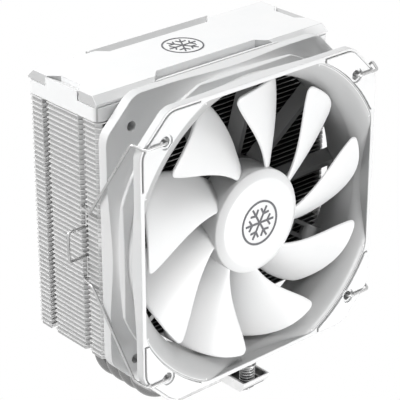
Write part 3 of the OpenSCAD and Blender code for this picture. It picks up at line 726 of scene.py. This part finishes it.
def struts():
    """The motor's seat, nine leaning struts and the cable channel behind the blades."""
    shape = bmesh.new()
    seat = [(3, 7), (4.2, 7), (4.2, 19.6), (22.6, 19.6), (23, 20), (23, FAN_DEPTH - 0.3),
            (22.7, FAN_DEPTH), (19, FAN_DEPTH), (19, FAN_DEPTH - 0.2), (0.02, FAN_DEPTH - 0.2),
            (0.02, 22.6), (3, 22.6)]
    revolved(shape, seat, 128, fan_point)
    angle, middle = math.radians(35), 2.5
    front, back, half, end = STRUT_FRONT, FAN_DEPTH, 0.9 / math.cos(angle), DUCT_R + 1.4
    shift = math.tan(angle) * (back - front)
    for k in range(9):
        place = turned_place(1 + 36 * k)
        cross = [(middle - half, front), (middle + half, front),
                 (middle + half + shift, back), (middle - half + shift, back)]
        inner = [shape.verts.new(place(STRUT_INNER_R, y, z)) for y, z in cross]
        outer = [shape.verts.new(place(end, y, z)) for y, z in cross]
        shape.faces.new(inner)
        shape.faces.new(outer[::-1])
        for i in range(4):
            n = (i + 1) % 4
            shape.faces.new((inner[i], outer[i], outer[n], inner[n]))
    place = turned_place(CABLE_TURN)

    def slab(x0, x1, y0, y1, z0, z1):
        prism(shape, [(x0, y0), (x1, y0), (x1, y1), (x0, y1)], z0, z1, place)

    low, high = CABLE_LOW - 0.1, CABLE_HIGH + 0.1
    gap_start, gap_end = 43, 50  # an opening in the channel's floor
    slab(STRUT_INNER_R, end, -0.6, CABLE_LOW, front, back)
    slab(STRUT_INNER_R, end, CABLE_HIGH, 6.7, front, back)
    slab(STRUT_INNER_R + 0.1, gap_start, low, high, front, CABLE_FLOOR)
    slab(gap_end, end, low, high, front, CABLE_FLOOR)
    slab(gap_start - 0.1, gap_end + 0.1, low, 1.2, front, CABLE_FLOOR)
    slab(gap_start - 0.1, gap_end + 0.1, 5, high, front, CABLE_FLOOR)
    # painted shade: the white struts, seat and channel are coloured dark grey
    add_piece("fan_struts_fine", shape, "fan_frame", material=moulded_white("strut_painted_shade", 0.22, 0.45))


# ---------------------------------------------------------------- impeller
HUB_R = 23
TIP_R = 60.6
ROOT_R = 22.3
CAP_FRONT = 2
BLADES = 9
TIP_ROUND = 3
BLADE_HALF_THICK = 0.75
LEAD_TURN = 23.5  # the leading edge at the tip, in degrees round the axis
LEAD_SWEEP = 28.5  # how far behind that it lies at the hub
LEAD_CURVE = 1.65
TRAIL_TURN = 55.5  # how far behind LEAD_TURN the trailing edge lies at the hub
TRAIL_SWEEP = 21  # how far forward it has come at the tip
LEAD_DEPTH = 5.1  # of the leading edge at the hub
LEAD_RISE = 3.9  # how much nearer the front it is at the tip
TRAIL_DEPTH = 17.4


def blade_angles(r):
    """Where a blade starts and ends round the hub, in degrees; its tip corners are rounded off."""
    t = (r - HUB_R) / (TIP_R - HUB_R)
    k = max(0.0, (r - TIP_R + TIP_ROUND) / TIP_ROUND)
    trim = TIP_ROUND * (1 - math.sqrt(max(0.0, 1 - k * k))) / r * 57.3  # degrees in a radian
    lead = LEAD_TURN - LEAD_SWEEP * (1 - min(1, t)) ** LEAD_CURVE - trim
    trail = LEAD_TURN - TRAIL_TURN + TRAIL_SWEEP * t + trim
    return lead, trail


def blade_point(r, s):
    """A point of a blade's middle surface, from leading edge (0) to trailing edge (1)."""
    t = (r - HUB_R) / (TIP_R - HUB_R)
    lead, trail = blade_angles(r)
    a = math.radians(lerp(lead, trail, s))
    start = LEAD_DEPTH - LEAD_RISE * t
    curl = 0.25 * (1 - t)
    depth = start + 0.6 + (TRAIL_DEPTH - start) * (curl * s + (1 - curl) * s ** (2.2 + 0.3 * t))
    return Vector((r * math.cos(a), r * math.sin(a), depth))


def blade(shape, place):
    """One blade: both faces as a fine grid, with thickness that runs out round at every free edge."""
    round_start = TIP_R - TIP_ROUND
    radii = [lerp(ROOT_R, round_start, k / 20) for k in range(20)]
    radii += [round_start + TIP_ROUND * math.sin(math.radians(90 * k / 9)) for k in range(10)]
    chord = [0.5 - 0.5 * math.cos(math.pi * k / 30) for k in range(31)]

    def side(sign):
        """Adds one face of the blade and returns the points round its edge."""
        rows = []
        for r in radii:
            row = []
            for s in chord:
                flat_r = min(max(r, ROOT_R + 0.3), round_start)
                along = blade_point(flat_r, min(1, s + 0.01)) - blade_point(flat_r, max(0, s - 0.01))
                outward = blade_point(flat_r + 0.2, s) - blade_point(flat_r - 0.2, s)
                normal = along.cross(outward).normalized()
                edge = min(1.0, math.sqrt(max(0.0, 4 * s * (1 - s))) * 2.2)
                tip = math.sqrt(max(0.0, 1 - max(0.0, (r - TIP_R + 0.8) / 0.8) ** 2))
                half = sign * BLADE_HALF_THICK * max(0.02, edge * tip)
                row.append(place(*(blade_point(r, s) + half * normal)))
            rows.append(row)
        grid = quad_grid(shape, rows)
        return [*grid[0], *[row[-1] for row in grid[1:]], *grid[-1][-2::-1],
                *[row[0] for row in grid[-2:0:-1]]]

    rim, under = side(1), side(-1)
    for i in range(len(rim)):
        n = (i + 1) % len(rim)
        shape.faces.new((rim[i], rim[n], under[n], under[i]))


def impeller():
    shape = bmesh.new()
    cap, shoulder, inner, back = 19.8, HUB_R, 21.4, 18.9
    section = [(0.02, CAP_FRONT), (cap - 0.7, CAP_FRONT), (cap - 0.2, CAP_FRONT + 0.08),
               (cap + 0.25, CAP_FRONT + 0.32), (shoulder - 0.35, CAP_FRONT + 1.75),
               (shoulder - 0.08, CAP_FRONT + 2.1), (shoulder, CAP_FRONT + 2.6), (shoulder, 18.6),
               (shoulder - 0.3, back), (inner, back), (inner, 4.6), (3, 4.6), (3, 5.8), (1.4, 5.8),
               (1.4, 3), (0.02, 3)]
    revolved(shape, section, 192, fan_point)
    for k in range(BLADES):
        blade(shape, turned_place(360 / BLADES * k))
    add_piece("impeller_fine", shape, "impeller", smooth=40)


# ---------------------------------------------------------------- springs and clips
WIRE_BEND = 1.6


def spring(node):
    """An open coil of five turns with plain ends."""
    low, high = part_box(node)
    wire, coil = 0.45, 3.05
    anchor = Vector((0, (low[1] + high[1]) / 2, low[2]))
    height = (high[2] - low[2]) / MM
    turns, steps = 5, 40
    path = []
    for k in range(turns * steps + 1):
        a = 2 * math.pi * k / steps
        part = k / (turns * steps)
        rise = lerp(wire, height - wire, part)
        path.append(anchor + Vector((coil * math.cos(a), coil * math.sin(a), rise)) * MM)
    shape = bmesh.new()
    swept(shape, path, wire * MM, 14)
    piece = add_piece(node + "_fine", shape, node)
    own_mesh(piece)


def clip(mirror, node):
    """Spring wire from the two fan holes round to the fins, with a finger loop between its hooks."""
    wire = 0.6
    hook, loop = 17, 6.5
    knee_rise = 1.7
    face, hole_end = -PAD_HEIGHT - wire - 0.3, 3.6
    beside = FAN_HALF + wire + 0.4
    fin_hook, fin_out = FIN_HALF - 1.7, FIN_HALF + 1.3
    loop_out = fin_hook + 9.6
    hook_depth, bend_depth = 38.2, 30.7
    upper = [(HOLE, HOLE, hole_end), (HOLE, HOLE, face), (beside - 2.2, HOLE, face),
             (beside, HOLE + knee_rise, 3.7), (beside, hook - 1.5, bend_depth),
             (fin_out, hook - 1.8, hook_depth), (fin_hook, hook - 1, hook_depth),
             (fin_hook, loop - 1, hook_depth), (loop_out, loop - 0.7, hook_depth)]
    lower = [(loop_out, -loop - 1.3, hook_depth), (fin_hook, -loop - 1, hook_depth),
             (fin_hook, -hook - 1, hook_depth), (fin_out, -hook - 0.2, hook_depth),
             (beside, -hook - 0.5, bend_depth), (beside, -HOLE + knee_rise, 4.5),
             (beside - 2.2, -HOLE, face), (HOLE, -HOLE, face), (HOLE, -HOLE, hole_end)]
    points = [fan_point(mirror * x, y, z) for x, y, z in upper + lower]
    path = [points[0]]
    for before, here, after in zip(points, points[1:], points[2:]):
        back, ahead = before - here, after - here
        start = here + back.normalized() * min(WIRE_BEND * MM, back.length * 0.45)
        end = here + ahead.normalized() * min(WIRE_BEND * MM, ahead.length * 0.45)
        for k in range(9):
            u = k / 8
            path.append((1 - u) ** 2 * start + 2 * u * (1 - u) * here + u * u * end)
    path.append(points[-1])
    shape = bmesh.new()
    swept(shape, path, wire * MM, 16)
    add_piece(node + "_fine", shape, node)


# ---------------------------------------------------------------- the whole model
studio()
MATERIALS = all_materials()
for node_name, node_object in NODES.items():
    node_object.data.materials.clear()
    node_object.data.materials.append(MATERIALS[SLOT_OF[node_name]])

fan_frame()
struts()
impeller()
spring("front_spring")
spring("rear_spring")
clip(-1, "left_clip")
clip(1, "right_clip")
for name, bevel in (("top_cover", 0.2), ("top_plate", 0.2), ("front_corner_pads", 0.2),
                    ("rear_corner_pads", 0.3), ("crossbar", 0.25), ("base_block", 0.35),
                    ("contact_plate", 0.25), ("cooling_fins", 0.12)):
    refined(name, bevel)
